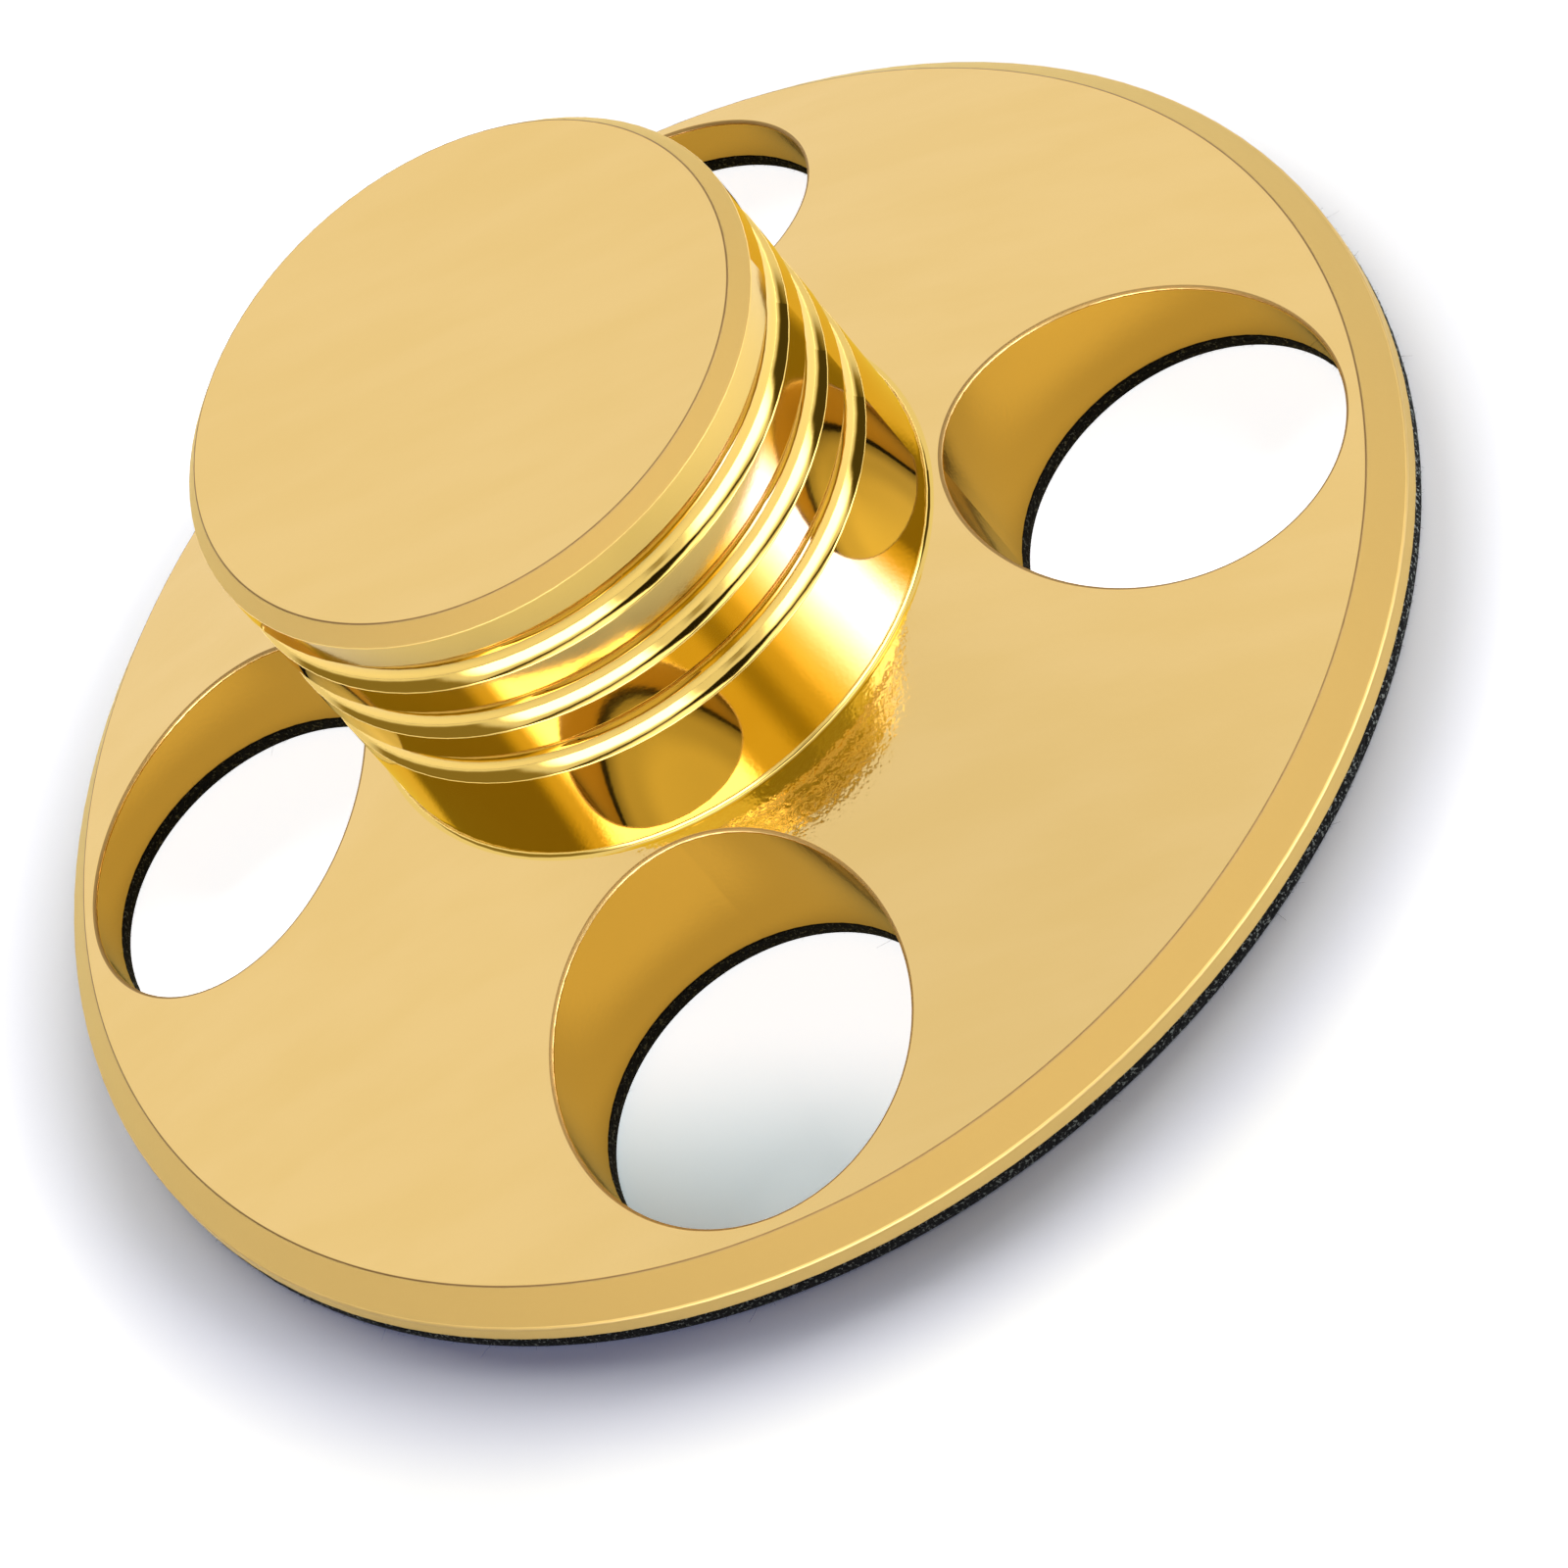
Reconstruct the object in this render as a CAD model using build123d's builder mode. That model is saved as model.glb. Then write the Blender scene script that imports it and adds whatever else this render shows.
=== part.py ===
from build123d import *
import os
from math import radians, tan

# Record weight: a disc with a grooved knob, turned in one piece, on a glued felt pad.
# Millimetres. Z is the turning axis and points up. The origin is the middle of the felt's underside.
# The four holes lie on the X and Y axes.

# Disc
disc_diameter = 80.0
rim_side_height = 1.0
rim_chamfer_width = 1.6
rim_chamfer_height = 1.7
cone_height = 6.95  # from the rim chamfer up to the knob's root
hole_count = 4
hole_web = 0.85  # metal between a hole and the knob's side, and between a hole and the rim chamfer

# Knob
knob_diameter = 33.0
foot_land = 6.85  # from the root up to the lowest groove
groove_count = 3
groove_width = 2.4
groove_depth = 0.65
groove_land = 1.85  # from one groove up to the next
top_land = 2.7  # from the highest groove up to the top face
top_chamfer_width = 0.86
top_chamfer_height = 1.0

# Edges
root_fillet = 0.3
edge_rounding = 0.12
hole_edge_rounding = 0.2

# Bore for the turntable's spindle, drilled from below
spindle_diameter = 7.2
spindle_clearance = 0.15
bore_depth = 15.0
drill_point_angle = 118.0
bore_mouth_chamfer = 0.5

# Felt pad
felt_thickness = 0.85
felt_inset = 0.1
felt_bore_clearance = 0.8

# Radii and heights that follow from the sizes above
disc_radius = disc_diameter / 2
rim_radius = disc_radius - rim_chamfer_width
knob_radius = knob_diameter / 2
top_radius = knob_radius - top_chamfer_width
bore_radius = spindle_diameter / 2 + spindle_clearance
hole_radius = (rim_radius - knob_radius) / 2 - hole_web
hole_pitch_radius = (rim_radius + knob_radius) / 2

underside = felt_thickness
rim_edge = underside + rim_side_height
rim_top = rim_edge + rim_chamfer_height
root = rim_top + cone_height
groove_start = root + foot_land
groove_pitch = groove_width + groove_land
top = groove_start + groove_count * groove_pitch - groove_land + top_land
shoulder = top - top_chamfer_height
bore_end = underside + bore_depth
bore_tip = bore_end + bore_radius / tan(radians(drill_point_angle / 2))

os.makedirs("parts", exist_ok=True)

# Body: half of its section turned around the axis, then the four holes with both their edges rounded
with BuildPart() as weight_body:
    with BuildSketch(Plane.XZ) as section:
        with BuildLine():
            Polyline(
                (0, bore_tip),
                (bore_radius, bore_end),
                (bore_radius, underside + bore_mouth_chamfer),
                (bore_radius + bore_mouth_chamfer, underside),
                (disc_radius, underside),
                (disc_radius, rim_edge),
                (rim_radius, rim_top),
                (knob_radius, root),
            )
            side_start = (knob_radius, root)
            for groove in range(groove_count):
                lower_lip = groove_start + groove * groove_pitch
                upper_lip = lower_lip + groove_width
                middle = (lower_lip + upper_lip) / 2
                Line(side_start, (knob_radius, lower_lip))
                ThreePointArc(
                    (knob_radius, lower_lip),
                    (knob_radius - groove_depth, middle),
                    (knob_radius, upper_lip),
                )
                side_start = (knob_radius, upper_lip)
            Polyline(
                side_start,
                (knob_radius, shoulder),
                (top_radius, top),
                (0, top),
                (0, bore_tip),
            )
        make_face()
        corners = section.vertices().filter_by_position(Axis.X, top_radius, disc_radius)
        root_corner = corners.sort_by_distance((knob_radius, root))[0]
        fillet([corner for corner in corners if corner != root_corner], edge_rounding)
        root_corner = section.vertices().sort_by_distance((knob_radius, root))[0]
        fillet(root_corner, root_fillet)
    revolve(axis=Axis.Z)
    with PolarLocations(hole_pitch_radius, hole_count):
        Hole(hole_radius)
    hole_edges = weight_body.edges(Select.LAST).filter_by(GeomType.LINE, reverse=True)
    fillet(hole_edges, hole_edge_rounding)
weight_body.part.label = "weight_body"
export_step(weight_body.part, "parts/weight_body.step")

# Felt pad: cut from flat felt, with the body's holes
with BuildPart() as felt_pad:
    with BuildSketch():
        Circle(disc_radius - felt_inset)
        Circle(bore_radius + felt_bore_clearance, mode=Mode.SUBTRACT)
        with PolarLocations(hole_pitch_radius, hole_count):
            Circle(hole_radius, mode=Mode.SUBTRACT)
    extrude(amount=felt_thickness)
felt_pad.part.label = "felt_pad"
export_step(felt_pad.part, "parts/felt_pad.step")
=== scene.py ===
import math

import bpy
import numpy as np
from mathutils import Matrix, Vector
from mathutils.geometry import delaunay_2d_cdt


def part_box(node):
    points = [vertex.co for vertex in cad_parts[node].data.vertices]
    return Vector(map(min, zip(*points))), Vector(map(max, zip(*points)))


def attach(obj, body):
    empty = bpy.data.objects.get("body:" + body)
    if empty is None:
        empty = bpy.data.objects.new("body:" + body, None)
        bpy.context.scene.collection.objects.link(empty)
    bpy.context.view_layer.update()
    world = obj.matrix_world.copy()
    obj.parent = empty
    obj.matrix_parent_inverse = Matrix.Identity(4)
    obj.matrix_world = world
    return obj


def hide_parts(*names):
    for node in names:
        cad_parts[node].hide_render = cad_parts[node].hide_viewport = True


# A gold record weight on black felt, on a white floor in a soft studio. Metres and degrees.

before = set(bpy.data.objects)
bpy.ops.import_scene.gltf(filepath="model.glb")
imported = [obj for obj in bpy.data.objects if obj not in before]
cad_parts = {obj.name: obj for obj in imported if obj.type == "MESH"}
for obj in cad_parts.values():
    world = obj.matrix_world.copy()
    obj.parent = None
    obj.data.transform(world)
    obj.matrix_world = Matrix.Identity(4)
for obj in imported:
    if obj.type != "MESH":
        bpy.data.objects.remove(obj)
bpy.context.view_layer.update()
MM = 0.001

# Sizes of the turned body that its finishes follow
body_low, body_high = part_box("weight_body")
rim_chamfer_width = 1.6 * MM
rim_side_height = 1.0 * MM
knob_radius = 16.5 * MM
root_width = 0.32 * MM  # from the knob's side to just past the small fillet at its root
top_chamfer_width = 0.86 * MM
top_chamfer_height = 1.0 * MM
hole_count = 4
hole_radius = 10.1 * MM
lip_rounding = 0.2 * MM

disc_radius = body_high.x
rim_radius = disc_radius - rim_chamfer_width
rim_edge = body_low.z + rim_side_height
root_reach = knob_radius + root_width
top_radius = knob_radius - top_chamfer_width
shoulder = body_high.z - top_chamfer_height
hole_pitch_radius = (rim_radius + knob_radius) / 2

# Felt
_, felt_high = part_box("felt_pad")
felt_radius = felt_high.x
felt_thickness = felt_high.z
felt_bore_radius = 4.55 * MM
edge_fibre_count = 5200
underside_fibre_count = 2400
fibre_curl = 0.35
random_seed = 7

# Camera, as the photograph was taken: azimuth 0 looks along +Y, 90 along -X
camera_azimuth = 25.42
camera_elevation = 44.42
camera_roll = -40.97
camera_distance = 644.75 * MM
camera_slide = (2.217 * MM, -4.586 * MM)  # to the camera's own right and up
camera_lens = 279.12
camera_clip = 10 * MM
sensor_width = 36.0

# The body's faces, bright with a faint grain and faint streaks
FACE_TONES = ((0.815, 0.565, 0.215), (0.835, 0.585, 0.235))
FACE_ROUGHNESS = (0.05, 0.08)
FACE_GRAIN = 0.28
grain_size = 0.3 * MM
grain_depth = 0.02 * MM
streak_width = 3.5 * MM
streak_stretch = 4.0
streak_turn = 25.0  # about Z

# The finishes that lie on the faces, each over those before it: colour, roughness, share of grain
FINISHES = {
    "wall": ((0.825, 0.575, 0.225), 0.14, 0.3),
    "satin": ((0.64, 0.49, 0.2), 1.0, 0.25),
    "side": ((0.58, 0.42, 0.15), 0.75, 0.25),
    "edge": ((0.62, 0.44, 0.17), 0.4, 0.03),
    "polish": ((0.81, 0.56, 0.15), 0.06, 0.03),
    # painted shade: a dark line where each chamfer meets the face inside it
    "painted_crease_shade": ((0.29, 0.175, 0.07), 0.5, 0.25),
    # painted shade: a darker band on the rounded lips of the holes
    "lip_shade": ((0.38, 0.24, 0.085), 0.6, 0.25),
}

# What the metal mirrors: each window of the studio has a brightness, the azimuths that it covers, from the
# side where the camera stands, and the elevations that it covers, both with half the width of the soft edge
STUDIO = (
    ("dark room on the left", 0.3, (-127, -74, 4), (6, 50, 4)),
    ("dark room on the right", 0.08, (77, 117, 6), (8, 46, 6)),
    ("lamp above the camera", 2.1, (-78, 80, 3), (50, 70, 3)),
    ("left soft box", 6.0, (-64, -12, 5), (-12, 33, 5)),
    ("right soft box", 6.0, (24, 76, 8), (-12, 33, 8)),
    ("table below the camera", 1.0, (-12, 20, 5), (-12, 28, 5)),
    ("tripod", 0.5, (3, 12, 4), (-12, 20, 4)),
    ("gap between the lamps", 0.03, (-76, 82, 1.5), (43.5, 47.5, 1.5)),
    ("gap in the ceiling", 0.62, (20, 62, 5), (72.5, 86, 5)),
    ("dark end of the gap", 0.33, (-48, 30, 5), (72.5, 86, 5)),
)
# The windows that show where metal mirrors metal, over those above
STUDIO_AGAIN = (
    ("right soft box, dimmed", 0.7, (20, 80, 8), (-12, 41, 6)),
    ("middle of the right soft box", 2.8, (26, 67, 12), (5, 19, 3)),
    ("room above the soft boxes, dimmed", 0.45, (-14, 80, 4), (20, 73, 3)),
    ("dark room on the right", 0.35, (76, 117, 4), (4, 46, 4)),
    ("lamp above on the right", 2.4, (84, 120, 5), (66, 80, 5)),
    ("gap in the ceiling, dimmed", 0.42, (20, 62, 5), (72.5, 86, 5)),
)
# The rest of the studio. A ramp is where it starts, where it ends, and its values there, or else 0 and 1
ROOM_RAMP = (50, 80, 1.02, 0.94)  # brightness by elevation
dark_camera_azimuth = 4.0
dark_camera_elevation = 44.0
dark_camera_half_width = 34.0
dark_camera_half_height = 12.0
DARK_CAMERA_RAMP = (0.85, 1.1, 1.0, 0.0)  # its share, by the reach from its middle
dark_camera_brightness = 0.02
BULB_RISE = (18, 50, 0.0, 1.0)  # by azimuth
BULB_DROP = (54, 74, 1.0, 0.0)
BULB_ELEVATIONS = (6, 17, 3)
bulb_brightness = 29.0
BULB_COLOUR = (0.05, 0.1, 1, 1)

# Colours of the studio's light: white where it is bright and warm where it is dim, once and twice mirrored
BRIGHT_COLOUR = (1, 1, 0.99)
DIM_COLOURS = ((1, 0.8, 0.22), (1, 0.9, 0.09))
dim_light = 0.2
BRIGHT_LIGHTS = (0.8, 4.0)
bounce_light = 0.25  # what gold passes on to the floor
first_bounce = 0.5  # a ray's diffuse depth is below this until it has met the floor or the felt
second_mirroring = 1.5  # a ray's glossy depth is above this once metal has mirrored metal

# Soft lamps that light the floor and the felt: azimuth from the side where the camera stands, elevation,
# width, height, power
LAMPS = (
    ("back_lamp_right", 80, 24, 1.6, 0.8, 20),
    ("back_lamp_middle", 130, 24, 1.6, 0.8, 44),
    ("back_lamp_left", 185, 24, 1.6, 0.8, 44),
    ("front_lamp", -20, 55, 2.0, 2.0, 3),
)
lamp_distance = 2.0

# Floor: its paper, and the white and the golden light that it adds. Ramps are written as above
PAPER_TONES = ((0.93, 0.93, 0.925), (0.95, 0.95, 0.945))
# Painted golden light: under the disc the paper is gold where only the metal sees it, so the hole walls
# mirror it
PAINTED_GOLDEN_BOUNCE_TONE = (0.5, 0.4, 0.13)
floor_half_size = 2.0
floor_depth = 0.02 * MM  # below the felt
paper_cloud_size = 0.4
# The floor's glow paints shade by place: less white beside the disc and in the nearest hole towards this
# side, and bluer beside the disc
shade_azimuth = -25.58  # towards the side of the disc that the lamps leave in shade
HOLE_SHADE_RAMP = (20 * MM, 37 * MM)  # by the distance towards that side
HOLE_GLOW = (0.9, 0.12)  # seen through a hole, in light and in shade
HOLE_COLOURS = ((0.97, 0.98, 1), (0.65, 0.92, 1))
NEAR_GLOW_RAMP = (31 * MM, 43 * MM, 0.045, 0.15)  # beside the disc, by the same distance
AWAY_RAMP = (disc_radius + 1.5 * MM, disc_radius + 10 * MM)  # by radius, from beside the disc to away from it
AWAY_COLOURS = ((0.48, 0.54, 1), (1, 0.98, 0.92))
away_glow = 0.42
mirrored_glow = 0.28
COVERED_RAMP = (felt_radius - 1.0 * MM, felt_radius - 0.2 * MM, 1.0, 0.0)  # by radius, under the disc
GOLDEN_RAMP = (4.5 * MM, 7.5 * MM, 0.69, 0.48)  # by the distance from a hole's axis
GOLDEN_MARGIN_RAMP = (8.3 * MM, hole_radius + 0.2 * MM, 1.0, 0.42)
GOLDEN_COLOUR = (1, 0.77, 0.23)


class Graph:
    """Short calls that add nodes to one node tree and link them."""

    def __init__(self, tree):
        self.tree = tree
        tree.nodes.clear()

    def add(self, kind, inputs=None, **settings):
        node = self.tree.nodes.new(kind)
        for name, value in settings.items():
            setattr(node, name, value)
        for name, value in (inputs or {}).items():
            if isinstance(value, bpy.types.NodeSocket):
                self.tree.links.new(value, node.inputs[name])
            else:
                node.inputs[name].default_value = value
        return node

    def math(self, operation, *values):
        return self.add("ShaderNodeMath", dict(enumerate(values)), operation=operation).outputs[0]

    def vector(self, operation, *values):
        node = self.add("ShaderNodeVectorMath", dict(enumerate(values)), operation=operation)
        return node.outputs["Value" if operation in ("LENGTH", "DOT_PRODUCT") else "Vector"]

    def product(self, first, *others):
        for other in others:
            first = self.math("MULTIPLY", first, other)
        return first

    def opposite(self, share):
        return self.math("SUBTRACT", 1.0, share)

    def distance(self, value, middle):
        return self.math("ABSOLUTE", self.math("SUBTRACT", value, middle))

    def ramp(self, value, start, end, low=0.0, high=1.0):
        """From low at start to high at end, smooth between them and level outside."""
        inputs = {"Value": value, "From Min": start, "From Max": end, "To Min": low, "To Max": high}
        return self.add("ShaderNodeMapRange", inputs, interpolation_type="SMOOTHSTEP").outputs[0]

    def step(self, value, place, blur):
        """0 below a place and 1 above it, with a soft edge."""
        return self.ramp(value, place - blur, place + blur)

    def band(self, value, low, high, blur):
        """1 between low and high, 0 outside, with soft edges."""
        drop = self.ramp(value, high - blur, high + blur, 1.0, 0.0)
        return self.product(self.step(value, low, blur), drop)

    def blend(self, share, first, second):
        """A number between two numbers."""
        return self.add("ShaderNodeMix", {0: share, 2: first, 3: second}, data_type="FLOAT").outputs[0]

    def tint(self, share, first, second):
        """A colour between two colours."""
        first, second = ((*tone, 1) if isinstance(tone, tuple) else tone for tone in (first, second))
        return self.add("ShaderNodeMix", {0: share, 6: first, 7: second}, data_type="RGBA").outputs[2]

    def noise(self, vector, size, detail=2.0, roughness=0.5):
        """Noise with features of about this size in metres, from 0 to 1."""
        inputs = {"Vector": vector, "Scale": 1 / size, "Detail": detail, "Roughness": roughness}
        return self.add("ShaderNodeTexNoise", inputs).outputs["Fac"]


def new_material(name):
    material = bpy.data.materials.new(name)
    material.use_nodes = True
    return material, Graph(material.node_tree)


def ground_direction(azimuth):
    """A level direction: azimuth 0 is -Y and 90 is +X."""
    turn = math.radians(azimuth)
    return Vector((math.sin(turn), -math.cos(turn), 0))


def direction(azimuth, elevation):
    """A direction that rises from the level one."""
    rise = math.radians(elevation)
    return math.cos(rise) * ground_direction(azimuth) + Vector((0, 0, math.sin(rise)))


def distance_from_hole(graph, place):
    """How far a point is from the axis of the nearest hole. The holes lie on the X and Y axes."""
    sizes = graph.add("ShaderNodeSeparateXYZ", {0: graph.vector("ABSOLUTE", place)}).outputs
    out = graph.math("SUBTRACT", graph.math("MAXIMUM", sizes["X"], sizes["Y"]), hole_pitch_radius)
    across = graph.math("MINIMUM", sizes["X"], sizes["Y"])
    return graph.math("SQRT", graph.math("ADD", graph.product(out, out), graph.product(across, across)))


def body_masks(graph, place):
    """For each of the body's finishes, 1 where it lies and 0 elsewhere."""
    blur = 0.04 * MM
    fine_blur = 0.03 * MM
    crease_shade_inside = 0.05 * MM
    crease_shade_outside = 0.04 * MM
    edge_below = 0.06 * MM
    edge_above = 0.05 * MM
    side_top = rim_edge + 0.09 * MM
    side_inside = disc_radius - 0.25 * MM
    side_blur = 0.05 * MM
    wall_reach = hole_radius + 0.02 * MM
    wall_blur = 0.01 * MM
    lip_start = hole_radius + 0.025 * MM
    lip_blur = 0.02 * MM

    radius = graph.vector("LENGTH", graph.vector("MULTIPLY", place, (1, 1, 0)))
    height = graph.add("ShaderNodeSeparateXYZ", {0: place}).outputs["Z"]
    from_hole = distance_from_hole(graph, place)
    above_shoulder = graph.step(height, shoulder, blur)
    above_side = graph.step(height, side_top, blur)
    outermost = graph.step(radius, side_inside, side_blur)
    on_knob = graph.opposite(graph.step(radius, root_reach, blur))

    rim = graph.product(above_side, graph.step(radius, rim_radius, blur))
    top_rim = graph.product(above_shoulder, graph.step(radius, top_radius, blur))
    edge = graph.band(height, rim_edge - edge_below, rim_edge + edge_above, fine_blur)
    # Painted shade: a dark line at the inner edge of each chamfer
    rim_crease_shade, top_crease_shade = (graph.band(radius, middle - crease_shade_inside, middle + crease_shade_outside, fine_blur)
                          for middle in (rim_radius, top_radius))
    # Painted shade on the rounded lips of the holes
    lip_shade = graph.band(from_hole, lip_start, hole_radius + lip_rounding, lip_blur)
    return {
        "wall": graph.opposite(graph.step(from_hole, wall_reach, wall_blur)),
        "satin": graph.math("MAXIMUM", rim, top_rim),
        "side": graph.product(graph.opposite(above_side), outermost),
        "edge": graph.product(edge, outermost),
        "polish": graph.product(graph.opposite(above_shoulder), on_knob),
        "painted_crease_shade": graph.math("MAXIMUM", rim_crease_shade, graph.product(top_crease_shade, above_shoulder)),
        "lip_shade": graph.product(lip_shade, above_side),
    }


def gold_metal():
    """Gold metal: bright grained faces, with the other finishes over them."""
    noise_span = (0.3, 0.7)  # where most of the noise lies
    material, graph = new_material("gold_metal_finish")
    place = graph.add("ShaderNodeTexCoord").outputs["Object"]
    grain = graph.noise(place, grain_size, detail=1.0)
    turned = {"Vector": place, "Rotation": (0, 0, -math.radians(streak_turn)),
              "Scale": (1 / streak_stretch, 1, 1)}
    stretched = graph.add("ShaderNodeMapping", turned).outputs[0]
    streaks = graph.ramp(graph.noise(stretched, streak_width, detail=3.0), *noise_span)

    colour = graph.tint(streaks, *FACE_TONES)
    rough = graph.ramp(grain, *noise_span, *FACE_ROUGHNESS)
    grain_share = FACE_GRAIN
    masks = body_masks(graph, place)
    for name, (finish_colour, finish_rough, finish_grain) in FINISHES.items():
        colour = graph.tint(masks[name], colour, finish_colour)
        rough = graph.blend(masks[name], rough, finish_rough)
        grain_share = graph.blend(masks[name], grain_share, finish_grain)
    relief = graph.product(grain, grain_share)
    normal = graph.add("ShaderNodeBump", {"Height": relief, "Distance": grain_depth}).outputs[0]

    shader = graph.add("ShaderNodeBsdfPrincipled",
                       {"Base Color": colour, "Metallic": 1.0, "Roughness": rough, "Normal": normal})
    graph.add("ShaderNodeOutputMaterial", {"Surface": shader.outputs[0]})
    return material


def black_felt():
    """Pressed black felt: tangled fibres, some of them paler, most of all at the outer edge."""
    clump_size = 0.9 * MM
    tangle_size = 0.11 * MM
    fleck_size = 0.2 * MM
    fleck_span = (0.55, 0.65)
    dust_ramp = (felt_radius - 1.5 * MM, felt_radius - 0.5 * MM, 0.25, 1.0)
    pile_depth = 0.06 * MM
    clump_height = 0.6
    black_tones = ((0.002, 0.002, 0.0022), (0.006, 0.0062, 0.0062))
    fleck_tone = (0.34, 0.37, 0.35)

    material, graph = new_material("black_felt_pile")
    place = graph.add("ShaderNodeTexCoord").outputs["Object"]
    clumps = graph.noise(place, clump_size, detail=3.0)
    tangle = graph.noise(place, tangle_size, detail=4.0, roughness=0.65)
    flecks = graph.ramp(graph.noise(place, fleck_size, detail=3.0, roughness=0.6), *fleck_span)
    dusty = graph.ramp(graph.vector("LENGTH", place), *dust_ramp)
    colour = graph.tint(clumps, *black_tones)
    colour = graph.tint(graph.product(flecks, dusty), colour, fleck_tone)
    pile = graph.math("ADD", tangle, graph.product(clumps, clump_height))
    normal = graph.add("ShaderNodeBump", {"Height": pile, "Distance": pile_depth}).outputs[0]
    shader = graph.add("ShaderNodeBsdfPrincipled",
                       {"Base Color": colour, "Roughness": 0.95, "Normal": normal,
                        "Sheen Weight": 0.04, "Sheen Roughness": 0.5, "Specular IOR Level": 0.1})
    graph.add("ShaderNodeOutputMaterial", {"Surface": shader.outputs[0]})
    return material


def loose_fibres():
    """Single fibres of the felt, most of them black and a few grey."""
    tones = ((0.006, 0.006, 0.0065), (0.3, 0.31, 0.29))
    rarity_of_grey = 5.0
    material, graph = new_material("felt_fibres")
    island = graph.add("ShaderNodeNewGeometry").outputs["Random Per Island"]
    colour = graph.tint(graph.math("POWER", island, rarity_of_grey), *tones)
    shader = graph.add("ShaderNodeBsdfPrincipled", {"Base Color": colour, "Roughness": 0.8})
    graph.add("ShaderNodeOutputMaterial", {"Surface": shader.outputs[0]})
    return material


def new_piece(name, points, faces, material):
    mesh = bpy.data.meshes.new(name)
    mesh.from_pydata([tuple(point) for point in points], [], faces)
    mesh.update()
    mesh.materials.append(material)
    piece = bpy.data.objects.new(name, mesh)
    bpy.context.scene.collection.objects.link(piece)
    return piece


def hole_centres():
    turns = [2 * math.pi * k / hole_count for k in range(hole_count)]
    return [(hole_pitch_radius * math.cos(turn), hole_pitch_radius * math.sin(turn)) for turn in turns]


def felt_loops(spacing):
    """The felt's edges as loops of (points, outward directions), with the felt on each loop's left."""
    circles = [(0.0, 0.0, felt_radius, 1), (0.0, 0.0, felt_bore_radius, -1)]
    circles += [(x, y, hole_radius, -1) for x, y in hole_centres()]
    loops = []
    for x, y, radius, side in circles:
        count = round(2 * math.pi * radius / spacing)
        turns = side * 2 * math.pi * np.arange(count) / count
        out = np.stack([np.cos(turns), np.sin(turns)], 1)
        loops.append((np.array([x, y]) + radius * out, side * out))
    return loops


def in_felt(points, margin):
    radius = np.hypot(points[:, 0], points[:, 1])
    inside = (radius < felt_radius - margin) & (radius > felt_bore_radius + margin)
    for x, y in hole_centres():
        inside &= np.hypot(points[:, 0] - x, points[:, 1] - y) > hole_radius + margin
    return inside


def felt_plan(edge_spacing, inner_spacing, rng):
    """The felt's plan: its spots, triangles between them, the edge's spots with their outward directions, and
    the pairs of neighbours along the edge."""
    jitter = 0.3  # of a spot, as a share of the spacing
    edge_margin = 0.5 * inner_spacing
    merge_distance = 1e-7
    loops = felt_loops(edge_spacing)
    edge_points = np.concatenate([points for points, _ in loops])
    edge_out = np.concatenate([out for _, out in loops])
    neighbours = []
    for points, _ in loops:
        start = len(neighbours)
        ring = list(range(start, start + len(points)))
        neighbours += zip(ring, ring[1:] + ring[:1])

    span = np.arange(-felt_radius, felt_radius, inner_spacing)
    grid = np.stack(np.meshgrid(span, span), -1).reshape(-1, 2)
    grid += rng.uniform(-jitter, jitter, grid.shape) * inner_spacing
    grid = grid[in_felt(grid, edge_margin)]
    flat = [Vector(point) for point in np.concatenate([edge_points, grid])]
    made = delaunay_2d_cdt(flat, neighbours, [], 0, merge_distance)
    spots = np.array([tuple(point) for point in made[0]])
    triangles = np.array(made[2])
    triangles = triangles[in_felt(spots[triangles].mean(1), 0.0)]
    place = {first: spot for spot, firsts in enumerate(made[3]) for first in firsts}
    edge_spots = [place[k] for k in range(len(edge_points))]
    return spots, triangles.tolist(), edge_spots, edge_out, neighbours


def make_felt(material, rng):
    """The felt as a closed sheet with a soft, slightly uneven edge and a lumpy underside."""
    edge_spacing = 0.3 * MM
    inner_spacing = 0.8 * MM
    lift = 0.06 * MM
    lump = 0.03 * MM
    wall_levels = 5
    bulge = 0.05 * MM
    unevenness = 0.035 * MM
    spots, triangles, edge_spots, edge_out, neighbours = felt_plan(edge_spacing, inner_spacing, rng)
    count = len(spots)
    edge_count = len(edge_spots)

    under = lift + rng.uniform(-lump, lump, count)
    under[edge_spots] = lift
    points = [np.c_[spots, under], np.c_[spots, np.full(count, felt_thickness)]]
    faces = [tuple(reversed(triangle)) for triangle in triangles]
    faces += [tuple(spot + count for spot in triangle) for triangle in triangles]
    rings = [edge_spots]
    for level in range(1, wall_levels):
        share = level / wall_levels
        reach = bulge * math.sin(math.pi * share) + rng.uniform(-unevenness, unevenness, edge_count)
        height = lift + (felt_thickness - lift) * share
        first = 2 * count + (level - 1) * edge_count
        points.append(np.c_[spots[edge_spots] + reach[:, None] * edge_out, np.full(edge_count, height)])
        rings.append(range(first, first + edge_count))
    rings.append([spot + count for spot in edge_spots])
    for lower, upper in zip(rings, rings[1:]):
        faces += [(lower[a], lower[b], upper[b], upper[a]) for a, b in neighbours]
    return new_piece("felt_sheet", np.concatenate(points), faces, material)


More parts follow.
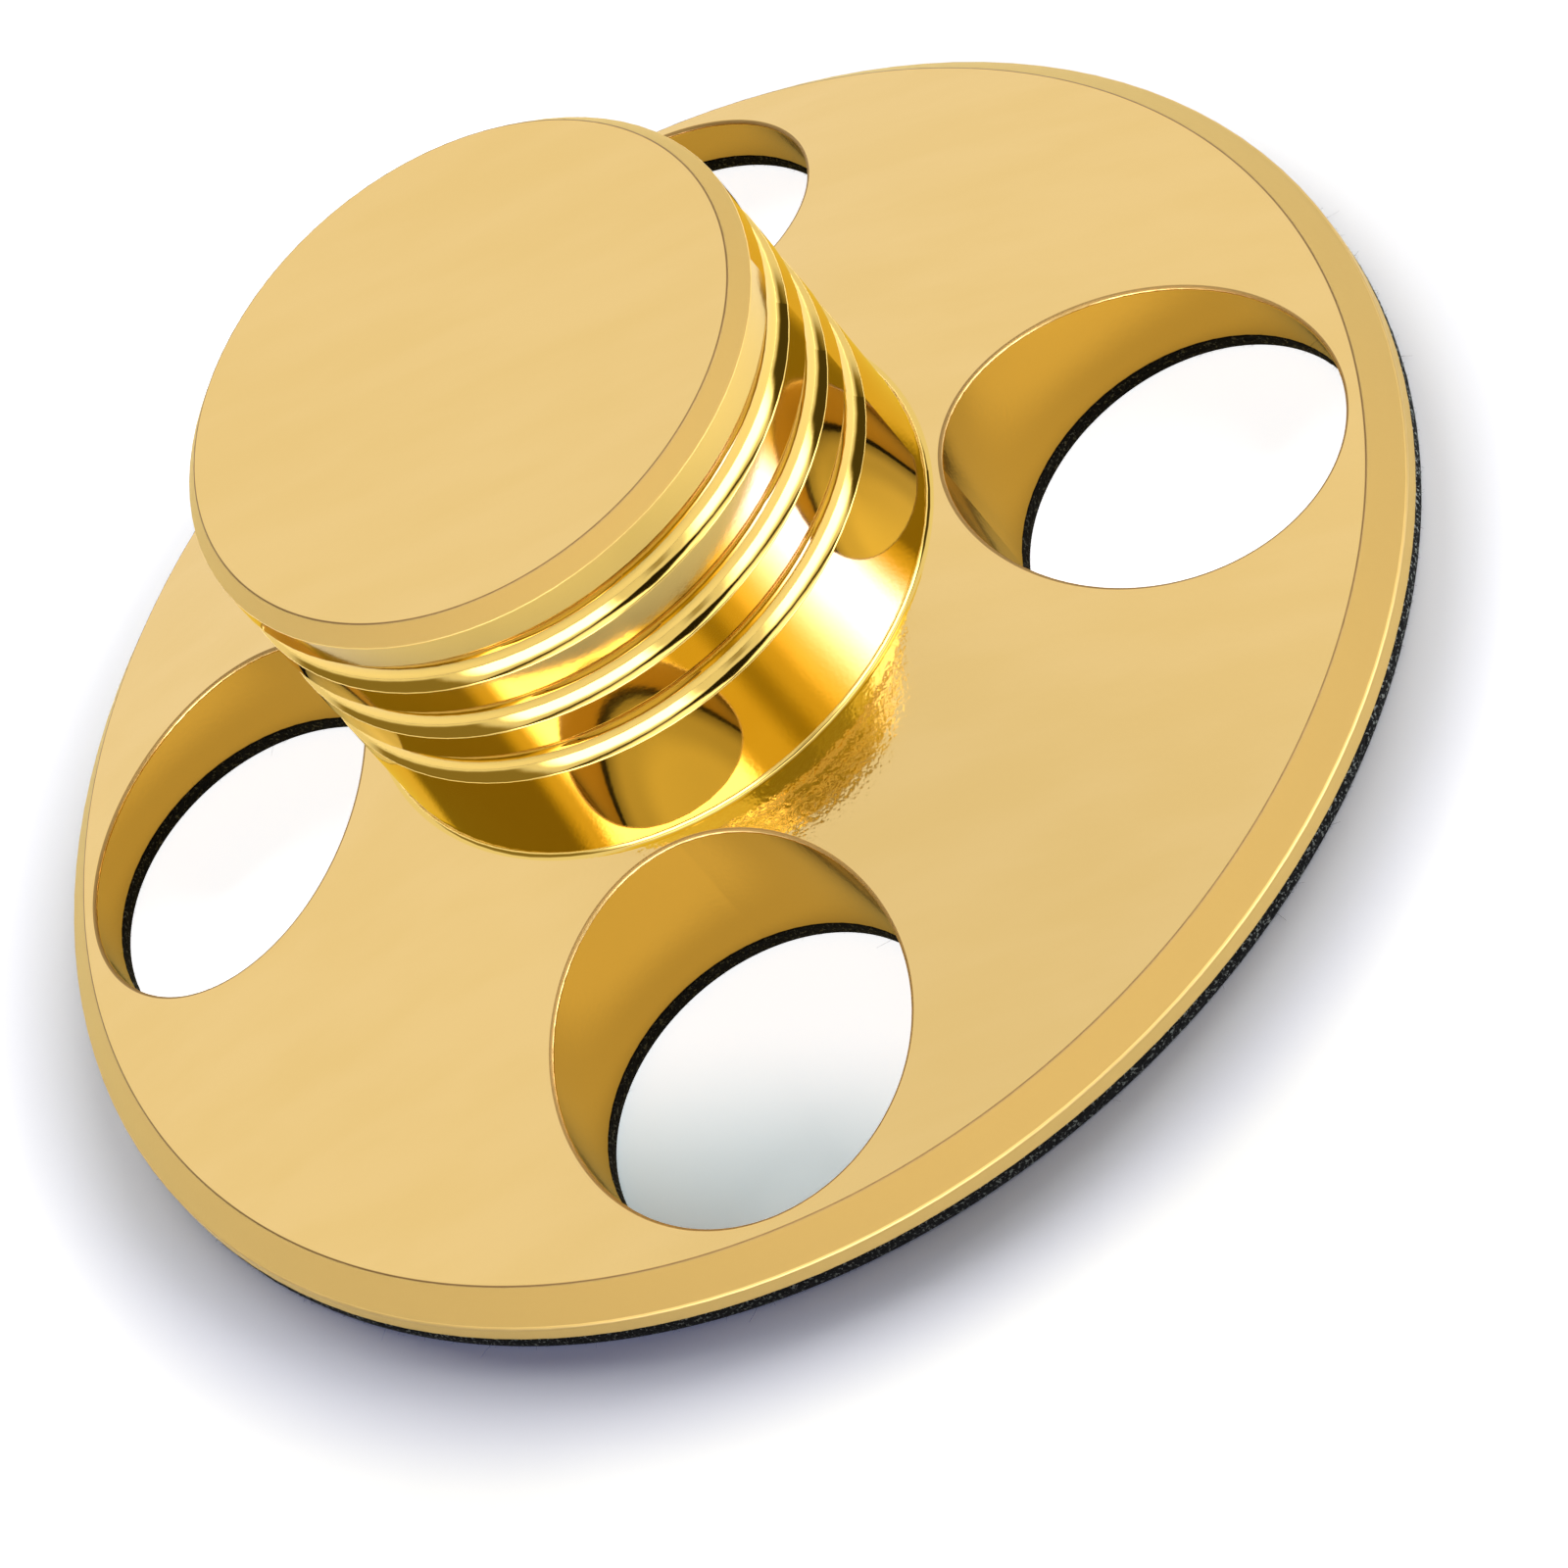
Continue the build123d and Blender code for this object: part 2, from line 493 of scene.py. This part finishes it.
def edge_fibres(count, rng):
    """Roots, directions, curls and lengths of the fibres that stand out of the felt's edges."""
    root_spacing = 0.05 * MM
    root_depth = 0.02 * MM
    root_heights = (0.06, 0.95)  # as shares of the felt's thickness
    outward = (0.1, 0.7)
    sideways_spread = 1.0
    droop = -0.05
    droop_spread = 0.35
    lengths = (0.08, 0.28)  # in millimetres

    loops = felt_loops(root_spacing)
    edge_points = np.concatenate([points for points, _ in loops])
    chosen = rng.integers(0, len(edge_points), count)
    out = np.concatenate([out for _, out in loops])[chosen]
    heights = rng.uniform(*root_heights, count) * felt_thickness
    roots = np.c_[edge_points[chosen] - root_depth * out, heights]
    along = np.stack([-out[:, 1], out[:, 0]], 1)
    level = out * rng.uniform(*outward, (count, 1)) + along * rng.normal(0, sideways_spread, (count, 1))
    aims = np.c_[level, rng.normal(droop, droop_spread, count)]
    curls = rng.normal(0, fibre_curl, (count, 3))
    return roots, aims, curls, rng.uniform(*lengths, count) * MM


def underside_fibres(count, rng):
    """Roots, directions, curls and lengths of the fibres that lie on the felt's underside."""
    tries = 3  # for each fibre, because some fall outside the felt
    margin = 0.5 * MM
    root_height = 0.05 * MM
    droop = -0.02
    lengths = (0.5, 1.6)  # in millimetres

    spots = rng.uniform(-felt_radius, felt_radius, (tries * count, 2))
    spots = spots[in_felt(spots, margin)][:count]
    turns = rng.uniform(0, 2 * math.pi, count)
    roots = np.c_[spots, np.full(count, root_height)]
    aims = np.c_[np.cos(turns), np.sin(turns), np.full(count, droop)]
    curls = rng.normal(0, fibre_curl, (count, 3)) * (1, 1, 0)
    return roots, aims, curls, rng.uniform(*lengths, count) * MM


def rod_faces(sides, rings):
    """Faces of one closed rod whose points run ring by ring."""
    spots = sides * rings
    faces = [tuple(reversed(range(sides))), tuple(range(spots - sides, spots))]
    for first in range(0, spots - sides, sides):
        for side in range(sides):
            a = first + side
            b = first + (side + 1) % sides
            faces.append((a, b, b + sides, a + sides))
    return faces


def make_fibres(material, rng):
    """Loose fibres of the felt, as thin rods that curve and taper."""
    half_widths = (0.007, 0.012)  # in millimetres
    taper = 0.55
    lowest = 0.002 * MM
    sides = 3
    shares = np.array([0.0, 0.35, 0.7, 1.0])  # of a rod's length, where its rings of points are
    groups = edge_fibres(edge_fibre_count, rng), underside_fibres(underside_fibre_count, rng)
    roots, aims, curls, lengths = (np.concatenate(parts) for parts in zip(*groups))
    aims /= np.linalg.norm(aims, axis=1, keepdims=True)
    thick = rng.uniform(*half_widths, len(roots)) * MM

    across = np.array([Vector(aim).orthogonal().normalized() for aim in aims])
    other = np.cross(aims, across)
    turns = 2 * math.pi * np.arange(sides)[:, None] / sides
    ring = np.cos(turns) * across[:, None] + np.sin(turns) * other[:, None]
    bow = shares[:, None] * aims[:, None] + shares[:, None] ** 2 * curls[:, None]
    centres = roots[:, None] + lengths[:, None, None] * bow
    narrow = thick[:, None] * (1 - taper * shares)
    points = (centres[:, :, None] + narrow[:, :, None, None] * ring[:, None]).reshape(-1, 3)
    points[:, 2] = np.clip(points[:, 2], lowest, felt_thickness)

    rod = rod_faces(sides, len(shares))
    starts = range(0, len(points), sides * len(shares))
    faces = [tuple(start + spot for spot in face) for start in starts for face in rod]
    return new_piece("felt_fibres", points, faces, material)


def floor_glow(graph, place, path, covered, golden):
    """Colour and level of the light that the floor adds, as painted shade: the backdrop's white is stronger
    away from the disc, weaker and bluer beside it, and weaker in the nearest hole's shade. The metal sees
    painted golden light under the disc."""
    shade_side = graph.vector("DOT_PRODUCT", place, ground_direction(shade_azimuth))
    shade = graph.ramp(shade_side, *HOLE_SHADE_RAMP)
    away = graph.ramp(graph.vector("LENGTH", place), *AWAY_RAMP)
    beyond = graph.blend(away, graph.ramp(shade_side, *NEAR_GLOW_RAMP), away_glow)
    beyond = graph.blend(path["Is Camera Ray"], mirrored_glow, beyond)
    white = graph.blend(covered, beyond, graph.blend(shade, *HOLE_GLOW))
    once = graph.math("LESS_THAN", path["Glossy Depth"], second_mirroring)
    mirrored_once = graph.product(path["Is Glossy Ray"], once)
    shown = graph.math("MAXIMUM", path["Is Camera Ray"], mirrored_once)
    from_hole = distance_from_hole(graph, place)
    golden_level = graph.product(graph.ramp(from_hole, *GOLDEN_RAMP),
                                 graph.ramp(from_hole, *GOLDEN_MARGIN_RAMP))
    level = graph.blend(golden, graph.product(white, shown), golden_level)

    colour = graph.tint(away, *AWAY_COLOURS)
    colour = graph.tint(covered, colour, graph.tint(shade, *HOLE_COLOURS))
    return graph.tint(golden, colour, GOLDEN_COLOUR), level


def white_floor():
    """A white floor that hides nothing from below. Under the disc it shows painted golden light to the metal,
    in its paper and its glow.
    """
    material, graph = new_material("white_floor")
    place = graph.add("ShaderNodeTexCoord").outputs["Object"]
    path = graph.add("ShaderNodeLightPath").outputs
    covered = graph.ramp(graph.vector("LENGTH", place), *COVERED_RAMP)
    golden = graph.product(covered, graph.opposite(path["Is Camera Ray"]))
    tone = graph.tint(graph.noise(place, paper_cloud_size), *PAPER_TONES)
    # Painted golden light: the paper turns gold under the disc, for the metal only
    tone = graph.tint(golden, tone, PAINTED_GOLDEN_BOUNCE_TONE)
    colour, level = floor_glow(graph, place, path, covered, golden)

    paper = graph.add("ShaderNodeBsdfDiffuse", {"Color": tone}).outputs[0]
    glow = graph.add("ShaderNodeEmission", {"Color": colour, "Strength": level}).outputs[0]
    lit = graph.add("ShaderNodeAddShader", {0: paper, 1: glow}).outputs[0]
    clear = graph.add("ShaderNodeBsdfTransparent").outputs[0]
    from_below = graph.add("ShaderNodeNewGeometry").outputs["Backfacing"]
    surface = graph.add("ShaderNodeMixShader", {0: from_below, 1: lit, 2: clear}).outputs[0]
    graph.add("ShaderNodeOutputMaterial", {"Surface": surface})
    return material


def make_floor():
    signs = ((-1, -1), (1, -1), (1, 1), (-1, 1))
    corners = [(x * floor_half_size, y * floor_half_size, -floor_depth) for x, y in signs]
    new_piece("floor", corners, [(0, 1, 2, 3)], white_floor())


def make_lamps():
    for name, turn, rise, width, height, power in LAMPS:
        data = bpy.data.lights.new(name, "AREA")
        data.shape = "RECTANGLE"
        data.size = width
        data.size_y = height
        data.energy = power
        lamp = bpy.data.objects.new(name, data)
        away = direction(camera_azimuth + turn, rise)
        lamp.location = lamp_distance * away
        lamp.rotation_euler = away.to_track_quat("Z", "Y").to_euler()
        lamp.visible_camera = False
        lamp.visible_glossy = False
        bpy.context.scene.collection.objects.link(lamp)


def studio_light(graph, azimuth, elevation, twice):
    """How bright the studio is in a direction: the room, its windows, and the dark camera as a lozenge."""
    light = graph.ramp(elevation, *ROOM_RAMP)
    for windows, shown in ((STUDIO, 1.0), (STUDIO_AGAIN, twice)):
        for _, brightness, across, rise in windows:
            window = graph.product(shown, graph.band(azimuth, *across), graph.band(elevation, *rise))
            light = graph.blend(window, light, brightness)

    beside = graph.math("DIVIDE", graph.distance(azimuth, dark_camera_azimuth), dark_camera_half_width)
    above = graph.math("DIVIDE", graph.distance(elevation, dark_camera_elevation), dark_camera_half_height)
    dark_camera = graph.ramp(graph.math("ADD", beside, above), *DARK_CAMERA_RAMP)
    return graph.blend(dark_camera, light, dark_camera_brightness)


def bulb_light(graph, azimuth, elevation):
    """A cool bulb in the right soft box."""
    across = graph.product(graph.ramp(azimuth, *BULB_RISE), graph.ramp(azimuth, *BULB_DROP))
    return graph.product(across, across, graph.band(elevation, *BULB_ELEVATIONS), bulb_brightness)


def make_world():
    """The studio, for the metal only, and plain white behind the floor."""
    world = bpy.data.worlds.new("studio")
    bpy.context.scene.world = world
    world.use_nodes = True
    world.cycles_visibility.diffuse = False
    graph = Graph(world.node_tree)
    path = graph.add("ShaderNodeLightPath").outputs
    ray = graph.add("ShaderNodeTexCoord").outputs["Generated"]
    front = graph.vector("DOT_PRODUCT", ray, ground_direction(camera_azimuth))
    side = graph.vector("DOT_PRODUCT", ray, ground_direction(camera_azimuth + 90))
    up = graph.add("ShaderNodeSeparateXYZ", {0: ray}).outputs["Z"]
    azimuth = graph.math("DEGREES", graph.math("ARCTAN2", side, front))
    elevation = graph.math("DEGREES", graph.math("ARCSINE", up))
    twice = graph.math("GREATER_THAN", path["Glossy Depth"], second_mirroring)
    mirrored = graph.math("LESS_THAN", path["Diffuse Depth"], first_bounce)

    light = studio_light(graph, azimuth, elevation, twice)
    light = graph.blend(mirrored, bounce_light, light)
    light = graph.blend(path["Is Camera Ray"], light, 1.0)
    pale = graph.ramp(light, dim_light, graph.blend(twice, *BRIGHT_LIGHTS))
    colour = graph.tint(pale, graph.tint(twice, *DIM_COLOURS), BRIGHT_COLOUR)
    bulb = graph.product(bulb_light(graph, azimuth, elevation), twice, mirrored)
    room = graph.add("ShaderNodeBackground", {"Color": colour, "Strength": light}).outputs[0]
    glare = graph.add("ShaderNodeBackground", {"Color": BULB_COLOUR, "Strength": bulb}).outputs[0]
    surface = graph.add("ShaderNodeAddShader", {0: room, 1: glare}).outputs[0]
    graph.add("ShaderNodeOutputWorld", {"Surface": surface})


def make_camera():
    back = direction(camera_azimuth, camera_elevation)
    level = ground_direction(camera_azimuth + 90)
    upright = back.cross(level)
    roll = math.radians(camera_roll)
    right = math.cos(roll) * level + math.sin(roll) * upright
    up = math.cos(roll) * upright - math.sin(roll) * level
    data = bpy.data.cameras.new("camera")
    data.sensor_width = sensor_width
    data.lens = camera_lens
    data.clip_start = camera_clip
    camera = bpy.data.objects.new("camera", data)
    camera.matrix_world = Matrix((right, up, back)).transposed().to_4x4()
    camera.location = camera_distance * back + camera_slide[0] * right + camera_slide[1] * up
    bpy.context.scene.collection.objects.link(camera)
    bpy.context.scene.camera = camera


body_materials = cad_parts["weight_body"].data.materials
body_materials.clear()
body_materials.append(gold_metal())

random_source = np.random.default_rng(random_seed)
felt = make_felt(black_felt(), random_source)
fibres = make_fibres(loose_fibres(), random_source)
for piece in (felt, fibres):
    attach(piece, "root")
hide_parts("felt_pad")

make_floor()
make_lamps()
make_world()
make_camera()
bpy.context.scene.view_settings.view_transform = "Standard"
